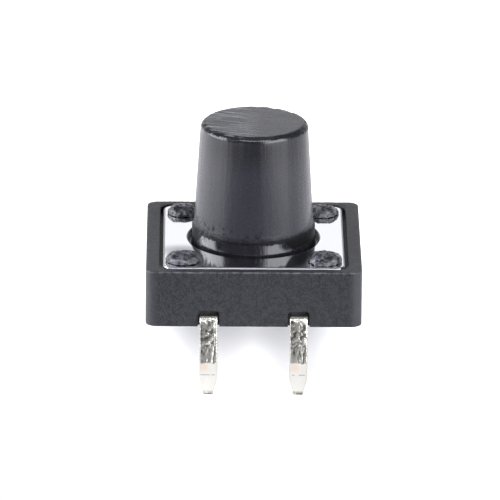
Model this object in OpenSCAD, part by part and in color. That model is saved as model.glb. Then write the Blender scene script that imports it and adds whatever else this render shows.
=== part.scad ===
/* [Housing] */
// Width and depth of the square moulded housing
body_size = 12; // [11:0.1:14]
// Height of the rim above the seating face
body_height = 3.2; // [3.1:0.1:4]
// Radius of the four upright corners
corner_radius = 0.6; // [0.3:0.1:0.8]
// Radius round the bottom edge
bottom_edge_radius = 0.05; // [0.05:0.05:0.3]
// Width of the rim at the left and right of the cover
rim_width_x = 0.75; // [0.6:0.05:0.9]
// Width of the rim at the front and back of the cover
rim_width_y = 0.55; // [0.45:0.05:0.7]
// Thinnest wall between an outer face and the round well
well_wall = 1.5; // [1.4:0.05:1.6]
// Width of the bevel round the mouth of the well
well_bevel = 0.15; // [0.1:0.05:0.25]

/* [Locating bosses] */
// Distance of a boss from the left or right face of the housing
boss_inset = 1.5; // [1.2:0.1:2]
// Diameter of a boss, which enters a 1.8 mm hole in the board
boss_d = 1.7; // [1.4:0.1:1.9]
// Length of a boss below the seating face
boss_length = 1; // [0.6:0.1:1.4]
// Bevel at the tip of a boss
boss_bevel = 0.2; // [0.1:0.05:0.3]

/* [Cover plate] */
// Thickness of the stamped cover
plate_thickness = 0.3; // [0.2:0.05:0.4]
// Open gap between the cover and the rim
plate_gap = 0.19; // [0.1:0.01:0.25]
// Corner radius of the cover
plate_corner_radius = 0.6; // [0.3:0.1:0.8]
// Radius that the punch rolled onto the cover's upper edges
punch_roll = 0.1; // [0.05:0.01:0.15]

/* [Heat stakes] */
// Distance of a stake from the left or right face of the housing
stake_inset_x = 2.05; // [1.9:0.05:2.1]
// Distance of a stake from the front or back face of the housing
stake_inset_y = 2; // [1.9:0.05:2.1]
// Diameter of the post that passes through the cover
stake_d = 1; // [0.8:0.05:1.1]
// Clearance round a post in the cover
stake_clearance = 0.06; // [0.03:0.01:0.1]
// Diameter of the melted head
head_d = 1.76; // [1.5:0.02:1.9]
// Height of the melted head above the cover
head_height = 0.5; // [0.35:0.05:0.6]
// Thickness of the head at its rim
head_lip = 0.06; // [0.04:0.01:0.2]

/* [Button] */
// Height of the button's top above the seating face
button_height = 10; // [7:0.5:16]
// Distance that the taper leans in on each side, from its foot to its top
button_draft = 0.345; // [0.1:0.005:0.5]
// Radius of the top edge
button_edge_radius = 0.35; // [0.1:0.05:0.5]
// Step on each side between the guide and the foot of the taper
guide_step = 0.105; // [0.05:0.005:0.2]
// Height of the guide above the cover
guide_rise = 0.75; // [0.6:0.05:1.4]
// Height of the blend between the guide and the taper
blend_height = 0.2; // [0.1:0.05:0.5]
// Radial clearance of the guide in the cover's hole
guide_clearance = 0.23; // [0.15:0.01:0.28]
// Thickness of the flange that stops the button under the cover
flange_thickness = 0.7; // [0.4:0.05:0.9]
// Width of the flange outside the guide
flange_lip = 0.8; // [0.7:0.05:0.9]
// Radial clearance of the flange in the well
flange_clearance = 0.25; // [0.15:0.05:0.35]
// Diameter of the nub that presses the dome
nub_d = 2.4; // [1.6:0.1:3]
// Distance that the button travels when pressed
travel = 0.3; // [0.2:0.02:0.36]

/* [Snap dome] */
// Thickness of the sprung contact
dome_thickness = 0.1; // [0.06:0.01:0.12]
// Radial clearance of the dome in the well
dome_clearance = 0.3; // [0.2:0.05:0.4]
// Depth of the dome's four trimmed sides
dome_trim = 0.8; // [0.5:0.05:0.9]

/* [Terminals] */
// Thickness of the strip that the terminals are stamped from
strip_thickness = 0.3; // [0.25:0.01:0.35]
// Height of the strip's underside above the seating face
strip_height = 0.4; // [0.25:0.05:0.45]
// Width of the stamped bars inside the housing
bar_width = 0.7; // [0.5:0.05:0.8]
// Wall of plastic between the well and the buried bars
bar_cover = 0.2; // [0.1:0.05:0.25]
// Width of the arm that carries the middle contact
arm_width = 1.2; // [0.8:0.1:1.6]
// Diameter of the middle contact pad
pad_d = 2.2; // [1.6:0.1:2.6]
// Height of the contact point pressed up from the pad
contact_rise = 0.12; // [0.08:0.01:0.16]
// Diameter of the contact point
contact_d = 1.2; // [0.8:0.1:1.4]
// Width of each pad under a foot of the dome
foot_pad = 1.3; // [1:0.1:1.6]
// Distance of a leg's middle from the left or right face of the housing
leg_inset = 3.5; // [3.2:0.1:3.7]
// Distance of a leg's tip outside the wall that it comes from
leg_stand_off = 0.25; // [0.15:0.05:0.4]
// Width of a leg
leg_width = 1; // [0.8:0.05:1.2]
// Length of a leg below the seating face
leg_length = 3.9; // [3.4:0.1:4.2]
// Depth of the kink below the seating face
kink_depth = 1.9; // [1.6:0.1:2.2]
// Distance that the kink stands out past the tip
kink_out = 0.35; // [0.2:0.05:0.45]
// Outward slant of the leg above the kink, in degrees
leg_slant = 9.5; // [7:0.5:11]
// Inside radius of the bend at the top of a leg
bend_radius = 0.1; // [0.1:0.05:0.2]
// Length of the coined tip
tip_length = 1; // [0.6:0.1:1.3]
// Width of the tip's end
tip_width = 0.46; // [0.3:0.02:0.6]
// Thickness of the tip's end
tip_thickness = 0.2; // [0.15:0.01:0.25]
// Clearance round a leg in its notch
notch_clearance = 0.1; // [0.08:0.02:0.22]
// Clearance above a leg in its notch
notch_headroom = 0.22; // [0.2:0.02:0.35]
// Depth of the notch in the wall
notch_depth = 0.3; // [0.2:0.02:0.36]

/* [Hidden] */
$fn = 96;
// Overshoot of a cut past the face that it leaves
cut = 0.5;
// Small gaps that keep the moving button clear of its stops at rest
flange_gap = 0.03;
dome_gap = 0.02;
// Number of straight pieces in each bend of a leg
arc_steps = 8;

contact_z = strip_height + strip_thickness;
plate_z = body_height - plate_thickness;
plate_x = body_size - 2 * rim_width_x - 2 * plate_gap;
plate_y = body_size - 2 * rim_width_y - 2 * plate_gap;
stake_x = body_size / 2 - stake_inset_x;
stake_y = body_size / 2 - stake_inset_y;

well_d = body_size - 2 * well_wall;
guide_top = body_height + guide_rise;
flange_d = well_d - 2 * flange_clearance;
guide_d = flange_d - 2 * flange_lip;
foot_d = guide_d - 2 * guide_step;
top_d = foot_d - 2 * button_draft;
plate_hole_d = guide_d + 2 * guide_clearance;
flange_z = plate_z - flange_gap - flange_thickness;
dome_rise = travel + contact_rise;
nub_z = contact_z + dome_rise + dome_thickness + dome_gap;
dome_d = well_d - 2 * dome_clearance;
dome_width = dome_d - 2 * dome_trim;

leg_x = body_size / 2 - leg_inset;
kink_y = body_size / 2 + leg_stand_off + kink_out;
bar_inner = well_d / 2 + bar_cover;

// A rectangle with four round corners, centred on the origin.
module rounded_rectangle(x, y, r) {
    square([x - 2 * r, y], center = true);
    square([x, y - 2 * r], center = true);
    for (sx = [-1, 1], sy = [-1, 1])
        translate([sx * (x / 2 - r), sy * (y / 2 - r)])
            circle(r);
}

// A wall's outline standing on y = 0, with round corners at its foot only.
module round_footed(width, height, r) {
    translate([-width / 2, r])
        square([width, height - r]);
    translate([-width / 2 + r, 0])
        square([width - 2 * r, height]);
    for (s = [-1, 1])
        translate([s * (width / 2 - r), r])
            circle(r);
}

// Stands a drawing on the y = 0 plane, so that its y is up, and gives it a length along y.
module along_y(length) {
    rotate([90, 0, 0])
        linear_extrude(length, center = true)
            children();
}

// The part of a ball that rises above z = 0, with the given foot and height.
module ball_cap(d, height) {
    r = (pow(d / 2, 2) + pow(height, 2)) / (2 * height);
    intersection() {
        translate([0, 0, height - r])
            sphere(r);
        cylinder(h = height + cut, d = d + cut);
    }
}

// Places a child at each of the four heat stakes.
module at_stakes() {
    for (sx = [-1, 1], sy = [-1, 1])
        translate([sx * stake_x, sy * stake_y])
            children();
}

// The housing's outer block: a square plan with upright corners, and a foot rounded on all sides.
module housing_block() {
    intersection() {
        linear_extrude(body_height)
            rounded_rectangle(body_size, body_size, corner_radius);
        along_y(body_size + 2 * cut)
            round_footed(body_size, body_height, bottom_edge_radius);
        rotate([0, 0, 90])
            along_y(body_size + 2 * cut)
                round_footed(body_size, body_height, bottom_edge_radius);
    }
}

// The round well. A bevel at its mouth leads the dome in.
module well() {
    translate([0, 0, contact_z])
        cylinder(h = body_height, d = well_d);
    translate([0, 0, plate_z - well_bevel])
        cylinder(h = well_bevel, d1 = well_d, d2 = well_d + 2 * well_bevel);
}

// The notch that a leg bends down through. Its upper corners are round, and its foot is open.
module leg_notch() {
    width = leg_width + 2 * notch_clearance;
    top = contact_z + notch_headroom;
    translate([leg_x, body_size / 2 + (cut - notch_depth) / 2, 0])
        along_y(notch_depth + cut)
            translate([0, top])
                rotate(180)
                    round_footed(width, top + cut, notch_clearance + bend_radius);
}

// A locating boss hangs below the seating face, with a bevelled tip.
module boss() {
    translate([body_size / 2 - boss_inset, 0, 0])
        mirror([0, 0, 1]) {
            cylinder(h = boss_length - boss_bevel, d = boss_d);
            translate([0, 0, boss_length - boss_bevel])
                cylinder(h = boss_bevel, d1 = boss_d, d2 = boss_d - 2 * boss_bevel);
        }
}

// One moulding: block, bosses and the posts whose melted heads hold the cover down.
module housing() {
    color("#3b3b3e") {
        difference() {
            union() {
                housing_block();
                boss();
                mirror([1, 0, 0]) boss();
            }
            translate([0, 0, plate_z])
                linear_extrude(body_height)
                    rounded_rectangle(plate_x + 2 * plate_gap, plate_y + 2 * plate_gap,
                                      plate_corner_radius + plate_gap);
            well();
            for (sx = [0, 1], sy = [0, 1])
                mirror([sx, 0, 0]) mirror([0, sy, 0]) leg_notch();
            left_frame();
            right_frame();
        }
        at_stakes() {
            translate([0, 0, plate_z])
                cylinder(h = plate_thickness, d = stake_d);
            translate([0, 0, body_height])
                cylinder(h = head_lip, d = head_d);
            translate([0, 0, body_height + head_lip])
                ball_cap(head_d, head_height - head_lip);
        }
    }
}

// A sheet whose upper outer edge is rolled over by the punch, all the way round.
module rolled_sheet(x, y, r, thickness, roll) {
    low = thickness - roll;
    linear_extrude(low)
        rounded_rectangle(x, y, r);
    linear_extrude(thickness)
        rounded_rectangle(x - 2 * roll, y - 2 * roll, r - roll);
    for (side = [0, 1], end = [0, 1])
        mirror([side, 0, 0]) mirror([0, end, 0])
            translate([x / 2 - r, y / 2 - r, low]) {
                rotate_extrude()
                    intersection() {
                        translate([r - roll, 0]) circle(roll);
                        square([r, roll]);
                    }
                rotate([90, 0, 0])
                    translate([r - roll, 0, 0])
                        cylinder(h = y - 2 * r, r = roll);
                rotate([0, -90, 0])
                    translate([0, r - roll, 0])
                        cylinder(h = x - 2 * r, r = roll);
            }
}

// The cover is stamped flat from bright strip: its outer edge and its middle hole are rolled.
module cover_plate() {
    color("#c9cbce")
        translate([0, 0, plate_z])
            difference() {
                rolled_sheet(plate_x, plate_y, plate_corner_radius, plate_thickness, punch_roll);
                translate([0, 0, -cut])
                    cylinder(h = plate_thickness + 2 * cut, d = plate_hole_d);
                translate([0, 0, plate_thickness])
                    rotate_extrude()
                        difference() {
                            translate([0, -punch_roll])
                                square([plate_hole_d / 2 + punch_roll, 2 * punch_roll]);
                            translate([plate_hole_d / 2 + punch_roll, -punch_roll])
                                circle(punch_roll);
                        }
                at_stakes()
                    translate([0, 0, -cut])
                        cylinder(h = plate_thickness + 2 * cut, d = stake_d + 2 * stake_clearance);
            }
}

// Half the button's section: nub, flange, straight guide, blend, taper and a round top edge.
module button_section() {
    taper = atan(button_draft / (button_height - guide_top - blend_height));
    edge = [top_d / 2 + button_edge_radius * (tan(taper) - 1 / cos(taper)),
            button_height - button_edge_radius];
    polygon([
        [0, nub_z],
        [nub_d / 2, nub_z],
        [nub_d / 2, flange_z],
        [flange_d / 2, flange_z],
        [flange_d / 2, flange_z + flange_thickness],
        [guide_d / 2, flange_z + flange_thickness],
        [guide_d / 2, guide_top],
        [foot_d / 2, guide_top + blend_height],
        edge + button_edge_radius * [cos(taper), sin(taper)],
        edge,
        [edge.x, button_height],
        [0, button_height],
    ]);
    translate(edge)
        circle(button_edge_radius);
}

// The button is turned about its own axis, which is also the axis that it slides on.
module button() {
    color("#2f3032")
        rotate_extrude()
            button_section();
}

// A crowned disc with four trimmed sides. Only its four corners reach down to the contacts.
module snap_dome() {
    crown_r = (pow(dome_d / 2, 2) + pow(dome_rise, 2)) / (2 * dome_rise);
    color("#b9bcc0")
        intersection() {
            translate([0, 0, contact_z + dome_rise - crown_r])
                difference() {
                    sphere(crown_r + dome_thickness);
                    sphere(crown_r);
                }
            translate([0, 0, contact_z])
                cylinder(h = dome_rise + dome_thickness + cut, d = dome_d);
            translate([0, 0, contact_z])
                linear_extrude(dome_rise + dome_thickness + cut)
                    square(dome_width, center = true);
        }
}

// Points along an arc, from one angle to another.
function arc(centre, r, from, to) =
    [for (i = [0 : arc_steps]) centre + r * unit(from + (to - from) * i / arc_steps)];

// The direction that an angle points in.
function unit(angle) = [cos(angle), sin(angle)];

// A leg seen from the side: u runs outwards, and the strip bends down, out to the kink and back in.
// Its coined tip gets thinner on the outside.
module leg_side() {
    half = strip_thickness / 2;
    mid_r = bend_radius + half;
    bend_z = strip_height - bend_radius;
    fall = (bend_z + mid_r * sin(leg_slant) + kink_depth) / cos(leg_slant);
    bend = [kink_y - fall * sin(leg_slant) - mid_r * cos(leg_slant), bend_z];
    kink = [kink_y, -kink_depth];
    return_slant = atan(kink_out / (leg_length - kink_depth));
    down = [-sin(return_slant), -cos(return_slant)];
    inner = kink - half * unit(-return_slant);
    outer = kink + half * unit(-return_slant);
    lower_length = (leg_length - kink_depth) / cos(return_slant);
    // Past the floor, so that the front outline cuts the tip level.
    end = inner + down * (lower_length + half);
    kink_mitre = half / cos((leg_slant + return_slant) / 2);
    polygon(concat(
        [[bar_inner, contact_z]],
        arc(bend, bend_radius + strip_thickness, 90, leg_slant),
        arc(kink, half, leg_slant, -return_slant),
        [outer + down * (lower_length - tip_length)],
        [end + tip_thickness * unit(-return_slant), end],
        [kink - kink_mitre * unit((leg_slant - return_slant) / 2)],
        arc(bend, bend_radius, leg_slant, 90),
        [[bar_inner, strip_height]]
    ));
}

// A leg seen from the front: parallel sides, then a taper to a narrow flat tip.
module leg_front() {
    taper_z = tip_length - leg_length;
    polygon([
        [-leg_width / 2, contact_z + cut],
        [-leg_width / 2, taper_z],
        [-tip_width / 2, -leg_length],
        [tip_width / 2, -leg_length],
        [leg_width / 2, taper_z],
        [leg_width / 2, contact_z + cut],
    ]);
}

// One leg at the back of the right-hand side.
module leg() {
    translate([leg_x, 0, 0])
        intersection() {
            rotate([90, 0, 90])
                linear_extrude(leg_width, center = true)
                    leg_side();
            along_y(4 * body_size)
                leg_front();
        }
}

// The bars that run round the right of the well and tie the front leg to the back one.
module side_bars() {
    leg_side_x = leg_x - leg_width / 2;
    translate([bar_inner, -bar_inner - bar_width])
        square([bar_width, 2 * (bar_inner + bar_width)]);
    for (s = [0, 1])
        mirror([0, s])
            translate([leg_side_x, bar_inner])
                square([bar_inner + bar_width - leg_side_x, bar_width]);
}

// A frame of bars at the strip's height, with its two legs. The children are its contact pads.
module stamped_frame() {
    translate([0, 0, strip_height])
        linear_extrude(strip_thickness) {
            side_bars();
            children();
        }
    leg();
    mirror([0, 1, 0]) leg();
}

// The right frame reaches the middle with an arm, which passes under a trimmed side of the dome.
module right_frame() {
    stamped_frame() {
        translate([0, -arm_width / 2])
            square([bar_inner + bar_width / 2, arm_width]);
        circle(d = pad_d);
    }
}

// The left frame has two pads, which lie under two of the dome's feet.
module left_frame() {
    foot = dome_d / 2 * cos(45);
    mirror([1, 0, 0])
        stamped_frame()
            for (s = [0, 1])
                mirror([0, s])
                    translate([foot - foot_pad / 2, foot - foot_pad / 2])
                        square([foot_pad, bar_inner - foot + foot_pad]);
}

module left_terminal() {
    color("#d8d5cc")
        left_frame();
}

module right_terminal() {
    color("#d8d5cc") {
        right_frame();
        translate([0, 0, contact_z])
            ball_cap(contact_d, contact_rise);
    }
}

housing();
cover_plate();
button();
snap_dome();
left_terminal();
right_terminal();
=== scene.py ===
import math
import bmesh
import bpy
from mathutils import Matrix, Vector, noise


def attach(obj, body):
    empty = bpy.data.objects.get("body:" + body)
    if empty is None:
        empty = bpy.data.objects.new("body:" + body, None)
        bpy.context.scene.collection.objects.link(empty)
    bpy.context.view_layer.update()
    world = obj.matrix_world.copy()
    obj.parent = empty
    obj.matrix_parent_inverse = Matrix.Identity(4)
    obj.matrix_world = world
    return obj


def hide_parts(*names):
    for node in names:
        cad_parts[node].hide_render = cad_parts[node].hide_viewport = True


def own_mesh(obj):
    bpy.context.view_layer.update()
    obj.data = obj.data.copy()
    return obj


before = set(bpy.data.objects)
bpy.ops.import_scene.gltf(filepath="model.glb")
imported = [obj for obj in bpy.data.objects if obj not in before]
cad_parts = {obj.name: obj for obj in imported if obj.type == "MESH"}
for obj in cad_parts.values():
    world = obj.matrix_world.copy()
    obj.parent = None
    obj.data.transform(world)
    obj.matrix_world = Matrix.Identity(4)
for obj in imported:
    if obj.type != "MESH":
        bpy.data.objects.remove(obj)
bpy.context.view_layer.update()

# Terminals: two stampings of brass strip, silver plated so that they take solder. Each has two legs,
# bent down at the housing's wall and kinked to snap into a circuit board, and contact pads that lie
# in the floor of the well. The housing is moulded round them.
MM = 0.001
strip_foot = 0.4
strip_thickness = 0.3
contact_height = strip_foot + strip_thickness
bar_inner = 4.7
bar_outer = 5.4
leg_x = 2.5
leg_width = 1.0
leg_fillet = 0.09
leg_root = 4.95
bend_centre = (5.9784, 0.3)
bend_middle_radius = 0.25
leg_slant = 9.5
kink = (6.6, -1.9)
kink_radius = 0.4
tip = (6.25, -3.9)
tip_length = 1.0
tip_width = 0.5
tip_thickness = 0.2
arm_half = 0.6
middle_pad_radius = 1.1
foot_pad = (2.32, 3.62)
contact_point = (0.6, 0.12)
bend_steps, kink_steps, tip_steps = 12, 8, 16


def linear(hex_colour):
    """Turns an sRGB hex colour into the linear RGBA that the shaders work in."""
    channels = [int(hex_colour[i:i + 2], 16) / 255 for i in (1, 3, 5)]
    return [c / 12.92 if c <= 0.04045 else ((c + 0.055) / 1.055) ** 2.4 for c in channels] + [1]


def add_node(tree, kind, inputs=(), **settings):
    """Adds a node with its settings and links. Its inputs come in their order, or by name or number. Each is
    a plain value, a hex colour, one output of another node, or that node for the first output it has."""
    node = tree.nodes.new(kind)
    for name, value in settings.items():
        setattr(node, name, value)
    if isinstance(inputs, dict):
        given_to = [(node.inputs[name], value) for name, value in inputs.items()]
    else:
        given_to = zip([socket for socket in node.inputs if socket.enabled], inputs)
    for socket, value in given_to:
        if isinstance(value, bpy.types.Node):
            value = next(output for output in value.outputs if output.enabled)
        if isinstance(value, bpy.types.NodeSocket):
            tree.links.new(value, socket)
        else:
            socket.default_value = linear(value) if isinstance(value, str) else value
    return node


def new_finish(name):
    """Starts a material, and gives its tree and the piece's own coordinates in mm."""
    material = bpy.data.materials.new(name)
    material.use_nodes = True
    tree = material.node_tree
    tree.nodes.clear()
    place = add_node(tree, "ShaderNodeTexCoord")
    return material, tree, add_node(tree, "ShaderNodeMapping",
                                    {"Vector": place.outputs["Object"], "Scale": [1 / MM] * 3})


def mesh_from(name, points, faces):
    """A mesh in metres from points in mm, closed, with its faces turned outwards."""
    shape = bmesh.new()
    corners = [shape.verts.new(Vector(p) * MM) for p in points]
    for face in faces:
        shape.faces.new([corners[i] for i in face])
    bmesh.ops.remove_doubles(shape, verts=shape.verts, dist=0.0005 * MM)
    bmesh.ops.recalc_face_normals(shape, faces=shape.faces)
    mesh = bpy.data.meshes.new(name)
    shape.to_mesh(mesh)
    shape.free()
    return mesh


def prism(name, outline, low, high):
    """A flat outline in mm given a height."""
    count = len(outline)
    points = [(x, y, z) for z in (low, high) for x, y in outline]
    faces = [list(range(count))[::-1], list(range(count, 2 * count))]
    faces += [(i, (i + 1) % count, count + (i + 1) % count, count + i) for i in range(count)]
    return mesh_from(name, points, faces)


def make_piece(name, mesh, material, slot, *nodes, body="body", smooth_below=35):
    """Puts a finished mesh in the scene as a piece, with its finish, body and the nodes it stands for."""
    mesh.materials.clear()
    mesh.materials.append(material)
    mesh.shade_smooth()
    mesh.set_sharp_from_angle(angle=math.radians(smooth_below))
    piece = bpy.data.objects.new(name, mesh)
    bpy.context.scene.collection.objects.link(piece)
    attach(piece, body)
    if nodes:
        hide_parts(*nodes)
    return piece


def combine(mesh, other, operation):
    """Joins two closed meshes into one, or cuts one out of the other."""
    carrier = bpy.data.objects.new("carrier", mesh)
    tool = bpy.data.objects.new("tool", other)
    for item in (carrier, tool):
        bpy.context.scene.collection.objects.link(item)
    cut = carrier.modifiers.new("cut", "BOOLEAN")
    cut.object = tool
    cut.operation = operation
    cut.solver = "EXACT"
    bpy.context.view_layer.update()
    seen = carrier.evaluated_get(bpy.context.evaluated_depsgraph_get())
    result = bpy.data.meshes.new_from_object(seen)
    for item in (carrier, tool):
        bpy.data.objects.remove(item)
    return result


def new_tree(name, sizes):
    """Starts a Geometry Nodes tree with a named input for each size, in mm, and one for the material."""
    tree = bpy.data.node_groups.new(name, "GeometryNodeTree")
    tree.interface.new_socket("Geometry", in_out="INPUT", socket_type="NodeSocketGeometry")
    tree.interface.new_socket("Geometry", in_out="OUTPUT", socket_type="NodeSocketGeometry")
    for size in sizes:
        tree.interface.new_socket(size, in_out="INPUT", socket_type="NodeSocketFloat")
    tree.interface.new_socket("Finish", in_out="INPUT", socket_type="NodeSocketMaterial")
    return tree, add_node(tree, "NodeGroupInput")


def close_tree(tree, given, geometry):
    """Ends a tree with its instances made real and its material set."""
    real = add_node(tree, "GeometryNodeRealizeInstances", {"Geometry": geometry})
    dressed = add_node(tree, "GeometryNodeSetMaterial", {
        "Geometry": real, "Material": given.outputs["Finish"]
    })
    add_node(tree, "NodeGroupOutput", [dressed])


def grow(tree, mesh, sizes, material):
    """Runs a tree on a mesh with the given sizes, and gives the result as a plain mesh."""
    carrier = bpy.data.objects.new("carrier", mesh)
    bpy.context.scene.collection.objects.link(carrier)
    modifier = carrier.modifiers.new(tree.name, "NODES")
    modifier.node_group = tree
    for item in tree.interface.items_tree:
        if item.in_out == "INPUT" and item.name in sizes:
            modifier[item.identifier] = sizes[item.name]
        elif item.in_out == "INPUT" and item.name == "Finish":
            modifier[item.identifier] = material
    bpy.context.view_layer.update()
    seen = carrier.evaluated_get(bpy.context.evaluated_depsgraph_get())
    grown = bpy.data.meshes.new_from_object(seen)
    carrier.modifiers.remove(modifier)
    bpy.data.objects.remove(carrier)
    return grown


# Silver-plated brass, stamped and barrel plated: bright and slightly warm. The bending tool has left a
# dulled patch on each leg between the bend and the kink, set a little to one side, pitted above and
# scored along the leg below. Under the kink the plating is smooth and a little browned. A faint broken
# dark line is painted where the tip is coined, a painted shade for the crease there, and the cut end is
# painted grey, a painted shade for its rounded, burred edge. Pits are drawn at about 0.25 mm, coarser
# than real ones.
patch_top = 0.62
patch_foot = -1.96
patch_half = 0.42
patch_offset = 0.04
scores_top = -0.8
coin_line = -2.61
soft = {"interpolation_type": "SMOOTHSTEP"}
plated_brass, tree, where = new_finish("silver-plated brass strip")
pits = add_node(tree, "ShaderNodeTexNoise", [where, 4.2, 2.0, 0.5])
ripple = add_node(tree, "ShaderNodeTexNoise", [where, 2.2, 2.0, 0.55])
at_x, at_y, at_z = add_node(tree, "ShaderNodeSeparateXYZ", [where]).outputs
across = add_node(tree, "ShaderNodeMath", [
    add_node(tree, "ShaderNodeMath", [at_x], operation="SIGN"),
    add_node(tree, "ShaderNodeMath", [
        add_node(tree, "ShaderNodeMath", [at_x], operation="ABSOLUTE"), leg_x
    ], operation="SUBTRACT")
], operation="MULTIPLY")
from_worn = add_node(tree, "ShaderNodeMath", [
    add_node(tree, "ShaderNodeMath", [across, patch_offset], operation="ADD")
], operation="ABSOLUTE")
on_face = add_node(tree, "ShaderNodeMapRange", [from_worn, patch_half - 0.04, patch_half, 1.0, 0.0], **soft)
scores = add_node(tree, "ShaderNodeTexNoise", [
    add_node(tree, "ShaderNodeMapping", {"Vector": where, "Scale": (5.0, 5.0, 0.9)}), 1.0, 2.0, 0.55
])
scored = add_node(tree, "ShaderNodeMapRange", [at_z, scores_top - 0.5, scores_top, 1.0, 0.0], **soft)
worn = add_node(tree, "ShaderNodeMix", [scored, pits, scores])
tooled = add_node(tree, "ShaderNodeMath", [
    add_node(tree, "ShaderNodeMapRange", [at_z, patch_foot, patch_foot + 0.08, 0.0, 1.0], **soft),
    add_node(tree, "ShaderNodeMapRange", [at_z, patch_top - 0.07, patch_top, on_face, 0.0], **soft)
], operation="MULTIPLY")
least_worn = add_node(tree, "ShaderNodeMapRange", [scored, 0.0, 1.0, 0.54, 0.49], **soft)
dulled = add_node(tree, "ShaderNodeMath", [
    tooled, add_node(tree, "ShaderNodeMapRange", [worn, 0.4, least_worn, 0.9, 0.12], **soft)
], operation="MULTIPLY")
strained = add_node(tree, "ShaderNodeMath", [
    add_node(tree, "ShaderNodeMapRange", [at_z, -2.5, -2.2, 0.0, 1.0], **soft),
    add_node(tree, "ShaderNodeMapRange", [at_z, patch_foot - 0.02, patch_foot + 0.06, 1.0, 0.0], **soft)
], operation="MULTIPLY")
warmth = add_node(tree, "ShaderNodeMath", [
    strained, add_node(tree, "ShaderNodeMapRange", [across, -0.2, 0.1, 0.55, 0.1], **soft)
], operation="MULTIPLY")
from_line = add_node(tree, "ShaderNodeMath", [
    add_node(tree, "ShaderNodeMath", [at_z, coin_line], operation="SUBTRACT")
], operation="ABSOLUTE")
# Painted shade: a darker broken line along the crease where the tip is coined.
coin_crease_shade = add_node(tree, "ShaderNodeMath", [
    add_node(tree, "ShaderNodeMapRange", [from_line, 0.01, 0.05, on_face, 0.0], **soft),
    add_node(tree, "ShaderNodeMapRange", [ripple, 0.46, 0.5, 0.0, 0.55], **soft)
], operation="MULTIPLY")
silver = add_node(tree, "ShaderNodeMix", [dulled, "#f0eee4", "#726f6a"], data_type="RGBA")
silver = add_node(tree, "ShaderNodeMix", [warmth, silver, "#ecd3b4"], data_type="RGBA")
# Painted shade: the cut end is greyed for its rounded, burred edge.
cut_end_shade = add_node(tree, "ShaderNodeMath", [
    add_node(tree, "ShaderNodeMapRange", [at_z, tip[1] + 0.06, tip[1] + 0.32, 1.0, 0.0], **soft),
    add_node(tree, "ShaderNodeMapRange", [pits, 0.35, 0.55, 0.3, 1.0], **soft)
], operation="MULTIPLY")
silver = add_node(tree, "ShaderNodeMix", [cut_end_shade, silver, "#8a857a"], data_type="RGBA")
relief = add_node(tree, "ShaderNodeMath", [
    add_node(tree, "ShaderNodeMath", [worn, 0.5], operation="SUBTRACT"), tooled
], operation="MULTIPLY")
shader = add_node(tree, "ShaderNodeBsdfPrincipled", {
    "Base Color": add_node(tree, "ShaderNodeMix", [coin_crease_shade, silver, "#77736c"], data_type="RGBA"),
    "Metallic": 1.0,
    "Roughness": add_node(tree, "ShaderNodeMapRange", [
        tooled, 0.0, 1.0, add_node(tree, "ShaderNodeMapRange", [at_z, -0.2, 0.1, 0.2, 0.24], **soft), 0.28
    ], **soft),
    "Normal": add_node(tree, "ShaderNodeBump", {
        "Height": relief, "Distance": 0.062 * MM,
        "Normal": add_node(tree, "ShaderNodeBump", {"Height": ripple, "Distance": 0.03 * MM})
    })
})
add_node(tree, "ShaderNodeOutputMaterial", [shader])

leg_tree, given = new_tree("kinked legs", ["Width", "Thickness", "Edge radius", "Tip length", "Tip width",
                                            "Tip thickness", "Tip height", "Tip position", "Across"])
path = add_node(leg_tree, "GeometryNodeMeshToCurve", {"Mesh": given.outputs["Geometry"]})
section = add_node(leg_tree, "GeometryNodeCurvePrimitiveQuadrilateral",
                   {"Width": given.outputs["Width"], "Height": given.outputs["Thickness"]})
rounded = add_node(leg_tree, "GeometryNodeFilletCurve", {
    "Curve": section, "Radius": given.outputs["Edge radius"], "Count": 4
}, mode="POLY")
swept = add_node(leg_tree, "GeometryNodeCurveToMesh", {
    "Curve": path, "Profile Curve": rounded, "Fill Caps": True
})
place = add_node(leg_tree, "GeometryNodeInputPosition")
at_x, at_y, at_z = add_node(leg_tree, "ShaderNodeSeparateXYZ", [place]).outputs
taper_start = add_node(leg_tree, "ShaderNodeMath", [
    given.outputs["Tip height"], given.outputs["Tip length"]
], operation="ADD")
along_tip = add_node(leg_tree, "ShaderNodeMapRange", {
    "Value": at_z, "From Min": taper_start, "From Max": given.outputs["Tip height"], "To Min": 0.0,
    "To Max": 1.0
})
narrow = add_node(leg_tree, "ShaderNodeMath", [
    along_tip,
    add_node(leg_tree, "ShaderNodeMath", [
        add_node(leg_tree, "ShaderNodeMath", [
            given.outputs["Tip width"], given.outputs["Width"]
        ], operation="DIVIDE"),
        1.0
    ], operation="SUBTRACT"),
    1.0
], operation="MULTIPLY_ADD")
coined = add_node(leg_tree, "ShaderNodeMath", [
    along_tip,
    add_node(leg_tree, "ShaderNodeMath", [
        add_node(leg_tree, "ShaderNodeMath", [
            given.outputs["Tip thickness"], given.outputs["Thickness"]
        ], operation="DIVIDE"),
        1.0
    ], operation="SUBTRACT"),
    1.0
], operation="MULTIPLY_ADD")
from_face = add_node(leg_tree, "ShaderNodeMath", [
    at_y, given.outputs["Tip position"]
], operation="SUBTRACT")
shaped = add_node(leg_tree, "ShaderNodeCombineXYZ", {
    "X": add_node(leg_tree, "ShaderNodeMath", [at_x, narrow], operation="MULTIPLY"),
    "Y": add_node(leg_tree, "ShaderNodeMath", [
        from_face, coined, given.outputs["Tip position"]
    ], operation="MULTIPLY_ADD"),
    "Z": add_node(leg_tree, "ShaderNodeMath", [at_z, given.outputs["Tip height"]], operation="MAXIMUM")
})
leg = add_node(leg_tree, "GeometryNodeSetPosition", {"Geometry": swept, "Position": shaped})
sites = add_node(leg_tree, "GeometryNodeMeshLine", {"Count": 2, "Offset": (0, 0, 0)})
half_turn = add_node(leg_tree, "ShaderNodeMath", [
    add_node(leg_tree, "GeometryNodeInputIndex"), math.pi
], operation="MULTIPLY")
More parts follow.
